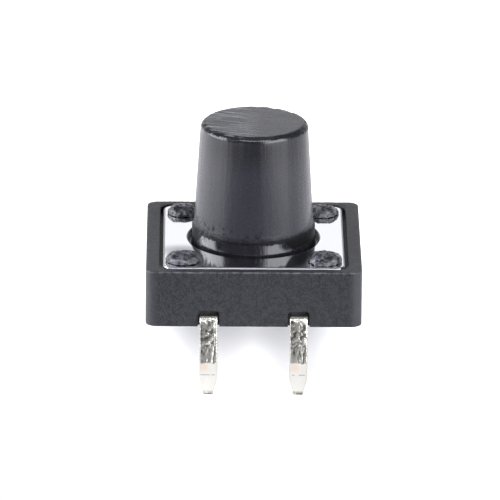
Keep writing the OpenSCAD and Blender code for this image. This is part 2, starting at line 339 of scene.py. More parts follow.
pair = add_node(leg_tree, "GeometryNodeInstanceOnPoints", {
    "Points": sites, "Instance": leg,
    "Rotation": add_node(leg_tree, "ShaderNodeCombineXYZ", {"Z": half_turn})
})
shift = add_node(leg_tree, "ShaderNodeCombineXYZ", {"X": given.outputs["Across"]})
placed = add_node(leg_tree, "GeometryNodeTransform", {"Geometry": pair, "Translation": shift})
close_tree(leg_tree, given, placed)


def leg_path():
    """The middle of the strip seen from the side: out of the wall, down to the kink, and in to the tip."""
    slant = math.radians(leg_slant)
    points = [(leg_root, contact_height - strip_thickness / 2)]
    for i in range(bend_steps + 1):
        turn = math.pi / 2 + (slant - math.pi / 2) * i / bend_steps
        points.append((bend_centre[0] + bend_middle_radius * math.cos(turn),
                       bend_centre[1] + bend_middle_radius * math.sin(turn)))
    corner, last, end = Vector(kink), Vector(points[-1]), Vector(tip)
    above, below = (last - corner).normalized(), (end - corner).normalized()
    half_angle = above.angle(below) / 2
    reach = kink_radius / math.tan(half_angle)
    centre = corner + (above + below).normalized() * kink_radius / math.sin(half_angle)
    start, stop = corner + above * reach, corner + below * reach
    points += [tuple(last.lerp(start, i / bend_steps)) for i in range(1, bend_steps)]
    for i in range(kink_steps + 1):
        chord = start.lerp(stop, i / kink_steps) - centre
        points.append(tuple(centre + chord.normalized() * kink_radius))
    points += [tuple(stop.lerp(end, i / tip_steps)) for i in range(1, tip_steps + 1)]
    return [(0, u, z) for u, z in points]


def leg_pair(side):
    """Both legs of one terminal, from the same bent strip."""
    strip = bpy.data.meshes.new("strip")
    points = leg_path()
    strip.from_pydata([Vector(p) * MM for p in points], [(i, i + 1) for i in range(len(points) - 1)], [])
    sizes = {"Width": leg_width, "Thickness": strip_thickness, "Edge radius": leg_fillet,
             "Tip length": tip_length, "Tip width": tip_width, "Tip thickness": tip_thickness,
             "Tip height": tip[1], "Tip position": tip[0] - strip_thickness / 2, "Across": side * leg_x}
    return grow(leg_tree, strip, {name: size * MM for name, size in sizes.items()}, plated_brass)


def frame_outline(inner_run):
    """The flat bars on the right of the well, with what one half of their inner side runs along."""
    half = [(bar_outer, bar_outer), (leg_x - leg_width / 2, bar_outer)] + inner_run
    return half + [(x, -y) for x, y in reversed(half)]


pad_angle = math.asin(arm_half / middle_pad_radius)
pad_arc = [pad_angle + (math.pi - pad_angle) * i / 24 for i in range(25)]
arm_run = [(leg_x - leg_width / 2, bar_inner), (bar_inner, bar_inner), (bar_inner, arm_half)]
arm_run += [(middle_pad_radius * math.cos(a), middle_pad_radius * math.sin(a)) for a in pad_arc[:-1]]
arm_run += [(-middle_pad_radius, 0)]
foot_run = [(leg_x - leg_width / 2, bar_inner), (foot_pad[0], bar_inner), (foot_pad[0], foot_pad[0]),
            (foot_pad[1], foot_pad[0]), (foot_pad[1], bar_inner), (bar_inner, bar_inner)]


def without_repeat(outline):
    """Drops points that fall on the one before them."""
    return [p for i, p in enumerate(outline) if p != outline[i - 1]]


right_frame = prism("right frame", without_repeat(frame_outline(arm_run)), strip_foot, contact_height)
left_frame = prism("left frame", [(-x, y) for x, y in frame_outline(foot_run)][::-1],
                   strip_foot, contact_height)
right_strip = combine(right_frame, leg_pair(1), "UNION")
left_strip = combine(left_frame, leg_pair(-1), "UNION")

dimple_radius = (contact_point[0] ** 2 + contact_point[1] ** 2) / (2 * contact_point[1])
dimple_steps = [math.asin(contact_point[0] / dimple_radius) * i / 8 for i in range(9)]
dimple = [(dimple_radius * math.sin(t),
           contact_height + contact_point[1] - dimple_radius * (1 - math.cos(t))) for t in dimple_steps]


def turned(name, profile, segments):
    """A solid turned about the z axis from a profile of radii and heights in mm."""
    points, rings = [], []
    for radius, z in profile:
        if radius == 0:
            rings.append([len(points)] * segments)
            points.append((0, 0, z))
        else:
            rings.append([len(points) + i for i in range(segments)])
            for i in range(segments):
                turn = 2 * math.pi * i / segments
                points.append((radius * math.cos(turn), radius * math.sin(turn), z))
    faces = []
    for low, high in zip(rings, rings[1:]):
        for i in range(segments):
            j = (i + 1) % segments
            face = list(dict.fromkeys([low[i], low[j], high[j], high[i]]))
            if len(face) > 2:
                faces.append(face)
    return mesh_from(name, points, faces)


contact = turned("contact point", dimple + [(contact_point[0], strip_foot + 0.1), (0, strip_foot + 0.1)], 48)
right_strip = combine(right_strip, contact, "UNION")
left_terminal = make_piece("left_terminal_strip", left_strip, plated_brass, "plated_brass", "left_terminal")
right_terminal = make_piece("right_terminal_strip", right_strip, plated_brass, "plated_brass",
                            "right_terminal")

# Housing: one moulding of black glass-filled nylon, shaped in a spark-eroded cavity round the two
# terminals. A pocket takes the cover, the round well below it takes the dome and the button's flange,
# and four notches let the legs out. Two bosses under it locate the switch on its board.
housing_half = 6.0
housing_height = 3.2
corner_radius = 0.6
bottom_radius = 0.05
edge_wear = 0.05
pocket_half = (5.25, 5.45)
pocket_radius = 0.79
pocket_floor = 2.9
well_radius = 4.5
well_bevel = 0.15
boss_x = 4.5
boss_radius = 0.85
boss_length = 1.0
boss_bevel = 0.2
notch_half = 0.6
notch_top = 0.92
notch_radius = 0.2
notch_wall = 5.7
corner_steps = 10
side_steps = 110


def rounded_loop(half_x, half_y, radius, z):
    """Points round a rectangle with round corners, the same number on each side whatever its size."""
    points = []
    for quarter in range(4):
        sign_x, sign_y = [(1, 1), (-1, 1), (-1, -1), (1, -1)][quarter]
        centre = Vector((sign_x * (half_x - radius), sign_y * (half_y - radius)))
        for i in range(corner_steps):
            turn = math.pi / 2 * (quarter + i / corner_steps)
            points.append((centre.x + radius * math.cos(turn), centre.y + radius * math.sin(turn), z))
        turn = math.pi / 2 * (quarter + 1)
        start = centre + radius * Vector((math.cos(turn), math.sin(turn)))
        next_x, next_y = [(1, 1), (-1, 1), (-1, -1), (1, -1)][(quarter + 1) % 4]
        stop = Vector((next_x * (half_x - radius), next_y * (half_y - radius)))
        stop += radius * Vector((math.cos(turn), math.sin(turn)))
        for i in range(side_steps):
            spot = start.lerp(stop, i / side_steps)
            points.append((spot.x, spot.y, z))
    return points


def round_loop(radius, z, like):
    """A circle with its points in the same directions as those of another loop."""
    turns = [math.atan2(y, x) for x, y, _ in like]
    return [(radius * math.cos(t), radius * math.sin(t), z) for t in turns]


def loft(name, loops, closed=False):
    """A skin through loops of points, its ends closed by a fan, or joined to each other."""
    count = len(loops[0])
    points = [p for loop in loops for p in loop]
    rows = list(range(len(loops))) + ([0] if closed else [])
    faces = []
    for low, high in zip(rows, rows[1:]):
        for i in range(count):
            j = (i + 1) % count
            faces.append((low * count + i, low * count + j, high * count + j, high * count + i))
    if not closed:
        for loop, step in ((0, -1), (len(loops) - 1, 1)):
            middle = len(points)
            points.append((0, 0, loops[loop][0][2]))
            ring = [loop * count + i for i in range(count)][::step]
            faces += [(ring[i], ring[(i + 1) % count], middle) for i in range(count)]
    return mesh_from(name, points, faces)


def worn_edge(half_x, half_y, radius, wear, inwards):
    """Loops round a top edge whose small radius changes along the way, as a moulded edge does."""
    loops = []
    rim = rounded_loop(half_x, half_y, radius, housing_height)
    amounts = []
    for x, y, _ in rim:
        slow = noise.noise(Vector((x * 1.3, y * 1.3, 7.1)))
        quick = noise.noise(Vector((x * 6.0, y * 6.0, 2.4)))
        amounts.append(wear * max(0.35, 1 + 0.8 * slow + 0.7 * quick))
    for step in range(6):
        turn = math.pi / 2 * step / 5
        loop = []
        for (x, y, z), amount in zip(rim, amounts):
            length = math.hypot(x, y)
            back = amount * (1 - math.cos(turn)) * (1 if inwards else -1)
            loop.append((x - back * x / length, y - back * y / length, z - amount * (1 - math.sin(turn))))
        loops.append(loop)
    return loops


outer = [rounded_loop(h, h, max(corner_radius * h / housing_half, 0.05), 0) for h in (1.5, 3.5, 5.2)]
for step in range(7):
    turn = math.pi / 2 * step / 6
    inset = bottom_radius * (1 - math.sin(turn))
    outer.append(rounded_loop(housing_half - inset, housing_half - inset, corner_radius - inset,
                              bottom_radius * (1 - math.cos(turn))))
outer += [rounded_loop(housing_half, housing_half, corner_radius, z) for z in (0.9, 1.7, 2.5, 3.05)]
outer += worn_edge(housing_half, housing_half, corner_radius, edge_wear, True)
inner = worn_edge(*pocket_half, pocket_radius, edge_wear / 2, False)[::-1]
inner += [rounded_loop(*pocket_half, pocket_radius, z) for z in (3.1, pocket_floor)]
mouth = inner[-1]
inner += [round_loop(radius, z, mouth) for radius, z in (
    (well_radius + well_bevel, pocket_floor), (well_radius, pocket_floor - well_bevel), (well_radius, 1.8),
    (well_radius, contact_height), (3.0, contact_height), (1.5, contact_height))]
housing_mesh = loft("housing", outer + inner)

notch_arc = [math.pi / 2 * i / 8 for i in range(9)]
notch_outline = [(notch_half, -1)]
notch_outline += [(notch_half - notch_radius * (1 - math.cos(t)),
                   notch_top - notch_radius * (1 - math.sin(t))) for t in notch_arc]
notch_outline += [(-x, z) for x, z in reversed(notch_outline)]
for side in (-1, 1):
    for end in (-1, 1):
        notch = prism("notch", notch_outline, notch_wall, notch_wall + 1)
        across = Matrix.Translation((side * leg_x * MM, 0, 0))
        upright = Matrix(((1, 0, 0, 0), (0, 0, end, 0), (0, 1, 0, 0), (0, 0, 0, 1)))
        notch.transform(across @ upright)
        if end > 0:
            notch.flip_normals()
        housing_mesh = combine(housing_mesh, notch, "DIFFERENCE")
boss_profile = [(0, 0.3), (boss_radius, 0.3), (boss_radius, boss_bevel - boss_length)]
boss_profile += [(boss_radius - boss_bevel, -boss_length), (0, -boss_length)]
for side in (-1, 1):
    boss = turned("boss", boss_profile, 64)
    boss.transform(Matrix.Translation((side * boss_x * MM, 0, 0)))
    housing_mesh = combine(housing_mesh, boss, "UNION")
for terminal in (left_terminal, right_terminal):
    housing_mesh = combine(housing_mesh, terminal.data.copy(), "DIFFERENCE")

# Glass-filled nylon from a spark-eroded mould: charcoal black, matte, with a fine even grain and
# faint clouding. A broken painted highlight runs along its upper edge, a painted sheen lightens its
# upright corners, and painted shade darkens the inside of the pocket. The grain is drawn at about
# 0.1 mm so that it shows.
matte_nylon, tree, where = new_finish("black glass-filled nylon, spark-eroded texture")
grain = add_node(tree, "ShaderNodeTexNoise", [where, 9.0, 4.0, 0.65])
cloud = add_node(tree, "ShaderNodeTexNoise", [where, 3.2, 4.0, 0.6])
at_x, at_y, at_z = add_node(tree, "ShaderNodeSeparateXYZ", [where]).outputs
out_x = add_node(tree, "ShaderNodeMath", [at_x], operation="ABSOLUTE")
out_y = add_node(tree, "ShaderNodeMath", [at_y], operation="ABSOLUTE")
at_edge = add_node(tree, "ShaderNodeMath", [
    add_node(tree, "ShaderNodeMapRange", [
        add_node(tree, "ShaderNodeMath", [out_x, out_y], operation="MAXIMUM"), housing_half - 0.1,
        housing_half - 0.05, 0.0, 1.0
    ], **soft),
    add_node(tree, "ShaderNodeMapRange", [
        at_z, housing_height - 0.1, housing_height - 0.04, 0.0, 1.0
    ], **soft)
], operation="MULTIPLY")
# Painted highlight: the broken bright line along the top edge is painted into the colour.
edge_highlight_paint = add_node(tree, "ShaderNodeMath", [
    at_edge, add_node(tree, "ShaderNodeMapRange", [cloud, 0.4, 0.6, 0.1, 0.9], **soft)
], operation="MULTIPLY")
tone = add_node(tree, "ShaderNodeMath", [
    grain, 1.5, add_node(tree, "ShaderNodeMath", [cloud, 0.7], operation="MULTIPLY")
], operation="MULTIPLY_ADD")
nylon = add_node(tree, "ShaderNodeMix", [
    add_node(tree, "ShaderNodeMapRange", [tone, 0.92, 1.28, 0.0, 1.0], **soft), "#141518", "#303136"
], data_type="RGBA")
# Painted sheen: the upright corners are lightened in the colour.
corner_sheen_paint = add_node(tree, "ShaderNodeMapRange", [
    add_node(tree, "ShaderNodeMath", [out_x, out_y], operation="ADD"), 2 * housing_half - 0.8,
    2 * housing_half - 0.25, 0.0, 0.8
], **soft)
nylon = add_node(tree, "ShaderNodeMix", [corner_sheen_paint, nylon, "#3e3e44"], data_type="RGBA")
# Painted shade: the inside of the pocket is darkened in the colour.
pocket_shade_paint = add_node(tree, "ShaderNodeMath", [
    add_node(tree, "ShaderNodeMapRange", [
        out_x, pocket_half[0] + 0.02, pocket_half[0] + 0.06, 1.0, 0.0
    ], **soft),
    add_node(tree, "ShaderNodeMapRange", [
        out_y, pocket_half[1] + 0.02, pocket_half[1] + 0.06, 1.0, 0.0
    ], **soft)
], operation="MULTIPLY")
nylon = add_node(tree, "ShaderNodeMix", [pocket_shade_paint, nylon, "#0c0c0e"], data_type="RGBA")
shader = add_node(tree, "ShaderNodeBsdfPrincipled", {
    "Base Color": add_node(tree, "ShaderNodeMix", [edge_highlight_paint, nylon, "#595a5f"], data_type="RGBA"),
    "Roughness": add_node(tree, "ShaderNodeMapRange", [grain, 0.3, 0.7, 0.38, 0.56], **soft), "IOR": 1.53,
    "Normal": add_node(tree, "ShaderNodeBump", {
        "Height": grain, "Distance": 0.025 * MM,
        "Normal": add_node(tree, "ShaderNodeBump", {"Height": cloud, "Distance": 0.02 * MM})
    })
})
add_node(tree, "ShaderNodeOutputMaterial", [shader])
make_piece("housing_moulding", housing_mesh, matte_nylon, "housing_plastic", "housing")

# Snap dome: a crowned disc of sprung stainless strip with four trimmed sides. Its four corners stand
# on the left terminal's pads and on the well's floor, and it flattens as the button presses it.
dome_radius = 4.2
dome_half_width = 3.4
dome_rise = 0.42
dome_thickness = 0.1
crown_radius = (dome_radius ** 2 + dome_rise ** 2) / (2 * dome_rise)
dome_turns = [2 * math.pi * (i + 0.5) / 192 for i in range(192)]
dome_reach = [min(dome_radius, dome_half_width / max(abs(math.cos(t)), abs(math.sin(t))))
              for t in dome_turns]


def dome_loop(share, radius):
    """Points at a share of the way out to the dome's trimmed rim, on a ball of the given radius."""
    centre = contact_height + dome_rise - crown_radius
    loop = []
    for turn, reach in zip(dome_turns, dome_reach):
        out = share * reach
        loop.append((out * math.cos(turn), out * math.sin(turn), centre + math.sqrt(radius ** 2 - out ** 2)))
    return loop


dome_shares = [0.04, 0.15, 0.3, 0.45, 0.6, 0.72, 0.84, 0.94, 1.0]
dome_mesh = loft("dome", [dome_loop(s, crown_radius) for s in dome_shares]
                 + [dome_loop(s, crown_radius + dome_thickness) for s in reversed(dome_shares)])

# Sprung stainless strip as rolled: bright, with fine straight roll marks.
spring_steel, tree, where = new_finish("sprung stainless strip")
rolled = add_node(tree, "ShaderNodeTexNoise", [
    add_node(tree, "ShaderNodeMapping", {"Vector": where, "Scale": (0.5, 14.0, 6.0)}), 1.0, 3.0, 0.55
])
shader = add_node(tree, "ShaderNodeBsdfPrincipled", {
    "Base Color": add_node(tree, "ShaderNodeMix", [rolled, "#c9ccd0", "#dfe1e4"], data_type="RGBA"),
    "Metallic": 1.0,
    "Roughness": add_node(tree, "ShaderNodeMapRange", [rolled, 0.3, 0.7, 0.16, 0.3], **soft),
    "Normal": add_node(tree, "ShaderNodeBump", {"Height": rolled, "Distance": 0.003 * MM})
})
add_node(tree, "ShaderNodeOutputMaterial", [shader])
dome = make_piece("snap_dome_disc", dome_mesh, spring_steel, "spring_steel", "snap_dome")
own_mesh(dome)

# Button: one moulding of black nylon. A nub presses the dome, the flange is caught under the cover,
# a straight guide slides in the cover's hole, and the tall cap above it tapers so that it leaves its
# mould. Its top edge has been nicked where it was cut from the runner and tumbled.
button_top = 10.0
button_edge = 0.35
top_radius = 3.0
foot_radius = 3.345
guide_radius = 3.45
guide_top = 3.95
taper_foot = 4.15
flange_radius = 4.25
flange_low = 2.17
flange_high = 2.87
nub_radius = 1.2
nub_low = 1.24
edge_break = 0.05
button_segments = 360

taper = math.atan((foot_radius - top_radius) / (button_top - taper_foot))
edge_centre = top_radius + button_edge * (math.tan(taper) - 1 / math.cos(taper))
side_foot = (foot_radius, taper_foot)
side_head = (edge_centre + button_edge * math.cos(taper), button_top - button_edge * (1 - math.sin(taper)))
button_profile = [(0, nub_low), (nub_radius - edge_break, nub_low), (nub_radius, nub_low + edge_break),
                  (nub_radius, flange_low), (flange_radius - edge_break, flange_low),
                  (flange_radius, flange_low + edge_break), (flange_radius, flange_high - edge_break),
                  (flange_radius - edge_break, flange_high), (guide_radius + edge_break, flange_high),
                  (guide_radius, flange_high + edge_break)]
button_profile += [(guide_radius, z) for z in (3.1, 3.4, 3.65, 3.85, guide_top)]
for i in range(1, 9):
    share = i / 8
    ease = share * share * (3 - 2 * share)
    button_profile.append((guide_radius + (foot_radius - guide_radius) * ease,
                           guide_top + (taper_foot - guide_top) * share))
for i in range(1, 29):
    share = i / 28
    button_profile.append((side_foot[0] + (side_head[0] - side_foot[0]) * share,
                           side_foot[1] + (side_head[1] - side_foot[1]) * share))
for i in range(1, 9):
    turn = taper + (math.pi / 2 - taper) * i / 8
    button_profile.append((edge_centre + button_edge * math.cos(turn),
                           button_top - button_edge * (1 - math.sin(turn))))
button_profile += [(radius, button_top) for radius in (2.58, 2.5, 2.35, 2.0, 1.5, 1.0, 0.5, 0)]
button_mesh = turned("button", button_profile, button_segments)

nick_depth = 0.16
nick_reach = 0.34
nicks_at = [(-150, 28, 0.16), (-117, 10, 0.5), (60, 50, 0.3), (150, 40, 0.3)]
for vertex in button_mesh.vertices:
    x, y, z = vertex.co / MM
    radius = math.hypot(x, y)
    from_edge = math.hypot(radius - (top_radius - 0.18), z - (button_top - 0.04))
    if z > button_top - 1 and from_edge < nick_reach:
        turn = math.degrees(math.atan2(y, x))
        worn = 0.02
        for centre, width, amount in nicks_at:
            apart = abs((turn - centre + 180) % 360 - 180)
            worn += amount * max(0.0, 1 - (apart / width) ** 2)
        bite = noise.noise(Vector((x, y, z)) * 2.3) + 0.35 * noise.noise(Vector((x, y, z)) * 5)
        depth = nick_depth * worn * max(0.0, bite + 0.2) * (1 - from_edge / nick_reach)
        vertex.co -= Vector((x / radius * depth * MM, y / radius * depth * MM, depth * MM))

# Moulded nylon: nearly black. The cap is satin from handling, greyer towards its foot, with drag marks
# down its sides and fine strokes across its top. The guide below keeps the gloss of the polished core
# that shaped it. The ledge between them is painted nearly black, a painted shade at the step. The ledge,
# the flecks above it and the ends of the torn top edge are porous and throw back little light.
scuff_at = (-2.85, -1.9, 3.7)
satin_nylon, tree, where = new_finish("black nylon, moulded, satin cap on a gloss guide")
at_x, at_y, at_z = add_node(tree, "ShaderNodeSeparateXYZ", [where]).outputs
speck = add_node(tree, "ShaderNodeTexNoise", [where, 5.0, 5.0, 0.7])
uneven = add_node(tree, "ShaderNodeMath", [
    add_node(tree, "ShaderNodeMath", [speck, 0.5], operation="SUBTRACT"),
    add_node(tree, "ShaderNodeMapRange", [at_x, -2.4, 1.2, 0.8, 0.45], **soft)
], operation="MULTIPLY")
ragged = add_node(tree, "ShaderNodeMath", [
    add_node(tree, "ShaderNodeMath", [uneven, 0.25], operation="ADD"), at_z
], operation="ADD")
to_sides = add_node(tree, "ShaderNodeMath", [
    add_node(tree, "ShaderNodeMapRange", [at_x, 1.7, 2.2, 0.0, 0.5], **soft),
    add_node(tree, "ShaderNodeMapRange", [at_x, -3.15, -2.9, 0.5, 0.0], **soft)
], operation="MAXIMUM")
cap = add_node(tree, "ShaderNodeMapRange", [ragged, taper_foot - 0.1, taper_foot + 0.35, 0.0, 1.0], **soft)
crown = add_node(tree, "ShaderNodeMapRange", [at_z, button_top - 0.06, button_top - 0.01, 0.0, 1.0], **soft)
drag = add_node(tree, "ShaderNodeTexNoise", [
    add_node(tree, "ShaderNodeMapping", {"Vector": where, "Scale": (5.0, 5.0, 0.35)}), 1.0, 4.0, 0.6
])
fine = add_node(tree, "ShaderNodeTexNoise", [where, 10.0, 3.0, 0.6])
slanted = add_node(tree, "ShaderNodeMapping", {"Vector": where, "Rotation": (0, 0, 0.3)})
strokes = add_node(tree, "ShaderNodeTexNoise", [
    add_node(tree, "ShaderNodeMapping", {"Vector": slanted, "Scale": (0.2, 3.2, 1.0)}), 1.0, 2.0, 0.5
])
from_stroke = add_node(tree, "ShaderNodeMath", [
    add_node(tree, "ShaderNodeMath", [strokes, 0.5], operation="SUBTRACT")
], operation="ABSOLUTE")
left_of_top = add_node(tree, "ShaderNodeMath", [
    crown, add_node(tree, "ShaderNodeMapRange", [at_x, -0.9, 0.6, 1.0, 0.12], **soft)
], operation="MULTIPLY")
stroke_lines = add_node(tree, "ShaderNodeMath", [
    left_of_top, add_node(tree, "ShaderNodeMapRange", [from_stroke, 0.01, 0.04, 1.0, 0.0], **soft)
], operation="MULTIPLY")
ledge = add_node(tree, "ShaderNodeMath", [
    add_node(tree, "ShaderNodeMapRange", [
        add_node(tree, "ShaderNodeMath", [ragged, to_sides], operation="ADD"), taper_foot - 0.11,
        taper_foot + 0.05, 0.0, 1.0
    ], **soft),
    add_node(tree, "ShaderNodeMapRange", [ragged, taper_foot + 0.05, taper_foot + 0.5, 1.0, 0.0], **soft)
], operation="MULTIPLY")
band_foot = add_node(tree, "ShaderNodeMapRange", [at_x, -1.0, 1.0, -0.1, 0.0], **soft)
flecks = add_node(tree, "ShaderNodeMath", [
    add_node(tree, "ShaderNodeMapRange", [speck, 0.54, 0.6, 0.0, 1.0], **soft),
    add_node(tree, "ShaderNodeMath", [
        add_node(tree, "ShaderNodeMapRange", [at_x, 0.2, 1.4, 0.9, 0.0], **soft),
        add_node(tree, "ShaderNodeMapRange", [at_z, taper_foot + 0.25, taper_foot + 1.05, 1.0, 0.0], **soft)
    ], operation="MULTIPLY")
], operation="MULTIPLY")
ledge = add_node(tree, "ShaderNodeMath", [
    ledge, add_node(tree, "ShaderNodeMath", [flecks, cap], operation="MULTIPLY")
], operation="MAXIMUM")
edge_zone = add_node(tree, "ShaderNodeMath", [
    add_node(tree, "ShaderNodeMapRange", [
        add_node(tree, "ShaderNodeMath", [at_z, band_foot], operation="ADD"), button_top - 0.32,
        button_top - 0.24, 0.0, 1.0
    ], **soft),
    add_node(tree, "ShaderNodeMapRange", [at_z, button_top - 0.04, button_top, 1.0, 0.0], **soft)
], operation="MULTIPLY")
at_ends = add_node(tree, "ShaderNodeMath", [
    add_node(tree, "ShaderNodeMapRange", [at_x, -2.0, -1.0, 1.0, 0.0], **soft),
    add_node(tree, "ShaderNodeMapRange", [at_x, 1.8, 2.4, 0.0, 1.0], **soft)
], operation="MAXIMUM")
torn = add_node(tree, "ShaderNodeMath", [
    add_node(tree, "ShaderNodeMath", [edge_zone, at_ends], operation="MULTIPLY"),
    add_node(tree, "ShaderNodeMapRange", [speck, 0.4, 0.52, 0.0, 1.0], **soft)
], operation="MULTIPLY")
porous = add_node(tree, "ShaderNodeMath", [ledge, torn], operation="MAXIMUM")
scuff_from = add_node(tree, "ShaderNodeVectorMath", [where, scuff_at], operation="DISTANCE")
scuff = add_node(tree, "ShaderNodeMath", [
    add_node(tree, "ShaderNodeMapRange", [scuff_from, 0.3, 0.9, 1.0, 0.0], **soft),
    add_node(tree, "ShaderNodeMapRange", [speck, 0.44, 0.58, 0.0, 1.0], **soft)
], operation="MULTIPLY")
satin = add_node(tree, "ShaderNodeMath", [
    cap, 0.09, add_node(tree, "ShaderNodeMapRange", [fine, 0.3, 0.7, 0.15, 0.19], **soft)
], operation="MULTIPLY_ADD")
rounded_edge = add_node(tree, "ShaderNodeMapRange", [
    at_z, button_top - 0.45, button_top - 0.3, 0.0, 1.0
], **soft)
satin = add_node(tree, "ShaderNodeMath", [rounded_edge, -0.12, satin], operation="MULTIPLY_ADD")
satin = add_node(tree, "ShaderNodeMath", [crown, 0.14, satin], operation="MULTIPLY_ADD")
satin = add_node(tree, "ShaderNodeMath", [porous, 0.3, satin], operation="MULTIPLY_ADD")
satin = add_node(tree, "ShaderNodeMath", [scuff, 0.2, satin], operation="MULTIPLY_ADD")
dark = add_node(tree, "ShaderNodeMix", [
    add_node(tree, "ShaderNodeMapRange", [drag, 0.35, 0.65, 0.0, 1.0], **soft), "#16161a", "#202025"
], data_type="RGBA")
greyed = add_node(tree, "ShaderNodeMath", [
    cap, add_node(tree, "ShaderNodeMapRange", [at_z, 7.4, 9.4, 0.66, 0.1], **soft)
], operation="MULTIPLY")
dark = add_node(tree, "ShaderNodeMix", [greyed, dark, "#34343c"], data_type="RGBA")
# Painted shade: the ledge at the step is darkened in the colour.
dark = add_node(tree, "ShaderNodeMix", [
    add_node(tree, "ShaderNodeMath", [ledge, 0.85], operation="MULTIPLY"), dark, "#0a0a0c"
], data_type="RGBA")
dark = add_node(tree, "ShaderNodeMix", [
    add_node(tree, "ShaderNodeMath", [stroke_lines, 0.45], operation="MULTIPLY"), dark, "#98989e"
], data_type="RGBA")
shader = add_node(tree, "ShaderNodeBsdfPrincipled", {
    "Base Color": add_node(tree, "ShaderNodeMix", [
        add_node(tree, "ShaderNodeMath", [scuff, 0.4], operation="MULTIPLY"), dark, "#5a5a62"
    ], data_type="RGBA"),
    "Roughness": satin,
    "Specular IOR Level": add_node(tree, "ShaderNodeMapRange", [
        porous, 0.0, 1.0, add_node(tree, "ShaderNodeMapRange", [crown, 0.0, 1.0, 0.5, 0.42], **soft), 0.08
    ], **soft),
    "IOR": 1.53,
    "Normal": add_node(tree, "ShaderNodeBump", {
        "Height": add_node(tree, "ShaderNodeMath", [strokes, left_of_top], operation="MULTIPLY"),
        "Distance": 0.038 * MM,
        "Normal": add_node(tree, "ShaderNodeBump", {
            "Height": drag, "Distance": 0.015 * MM,
            "Normal": add_node(tree, "ShaderNodeBump", {"Height": fine, "Distance": 0.0018 * MM})
        })
    })
})
add_node(tree, "ShaderNodeOutputMaterial", [shader])
make_piece("button_cap", button_mesh, satin_nylon, "button_plastic", "button", body="plunger")

# Cover plate: stamped from bright tin-plated steel strip 0.3 mm thick. The punch rolled its outer edge
# and the edge of the middle hole, and the melted posts have pulled it down a little round their feet.
plate_half = (5.06, 5.26)
plate_radius = 0.6
plate_low = 2.9
plate_high = 3.2
punch_roll = 0.1
hole_radius = 3.68
stake_at = (3.95, 4.0)
stake_places = [(sx * stake_at[0], sy * stake_at[1]) for sx in (-1, 1) for sy in (-1, 1)]
stake_hole = 0.56
dish_depth, dish_radius, dish_width = 0.025, 0.7, 0.5
plate_rings = 40
roll_turns = [math.pi / 2 * i / 6 for i in range(7)]
plate_loops = [rounded_loop(*plate_half, plate_radius, plate_low)]
for turn in roll_turns:
    inset = punch_roll * (1 - math.cos(turn))
    plate_loops.append(rounded_loop(plate_half[0] - inset, plate_half[1] - inset, plate_radius - inset,
                                    plate_high - punch_roll * (1 - math.sin(turn))))
outside = plate_loops[-1]
inside = round_loop(hole_radius + punch_roll, plate_high, outside)
for step in range(1, plate_rings):
    share = step / plate_rings
    loop = []
    for (x, y, _), (u, v, _) in zip(outside, inside):
        px, py = x + (u - x) * share, y + (v - y) * share
        away = min(math.hypot(px - sx, py - sy) for sx, sy in stake_places)
        loop.append((px, py, plate_high - dish_depth * math.exp(-((away - dish_radius) / dish_width) ** 2)
                     * min(1, 6 * share)))
    plate_loops.append(loop)
for turn in reversed(roll_turns):
    plate_loops.append(round_loop(hole_radius + punch_roll * (1 - math.cos(turn)),
                                  plate_high - punch_roll * (1 - math.sin(turn)), outside))
plate_loops.append(round_loop(hole_radius, plate_low, outside))
plate_mesh = loft("cover", plate_loops, closed=True)
for x, y in stake_places:
    punch = turned("punch", [(0, 2.5), (stake_hole, 2.5), (stake_hole, 3.6), (0, 3.6)], 64)
    punch.transform(Matrix.Translation((x * MM, y * MM, 0)))
    plate_mesh = combine(plate_mesh, punch, "DIFFERENCE")

# Bright tin plate on steel strip: a cold mirror, with faint roll marks along the strip and dull on its
# sheared edge. The rolled edge of its hole is painted dark, a painted shade at the gap round the
# button. It is strained for some way round the front left stake, where its reflection bends off.
tin_plate, tree, where = new_finish("bright tin-plated steel")
marks = add_node(tree, "ShaderNodeTexNoise", [
    add_node(tree, "ShaderNodeMapping", {"Vector": where, "Scale": (9.0, 0.8, 1.0)}), 1.0, 3.0, 0.55
])
haze = add_node(tree, "ShaderNodeTexNoise", [where, 1.1, 2.0, 0.55])
at_x, at_y, _ = add_node(tree, "ShaderNodeSeparateXYZ", [where]).outputs
edge_x = add_node(tree, "ShaderNodeMapRange", [
    add_node(tree, "ShaderNodeMath", [at_x], operation="ABSOLUTE"), plate_half[0] - 0.12,
    plate_half[0] - 0.07, 0.0, 1.0
], **soft)
edge_y = add_node(tree, "ShaderNodeMapRange", [
    add_node(tree, "ShaderNodeMath", [at_y], operation="ABSOLUTE"), plate_half[1] - 0.12,
    plate_half[1] - 0.07, 0.0, 1.0
], **soft)
sheared = add_node(tree, "ShaderNodeMath", [edge_x, edge_y], operation="MAXIMUM")
in_plan = add_node(tree, "ShaderNodeCombineXYZ", {"X": at_x, "Y": at_y})
from_axis = add_node(tree, "ShaderNodeVectorMath", [in_plan], operation="LENGTH")
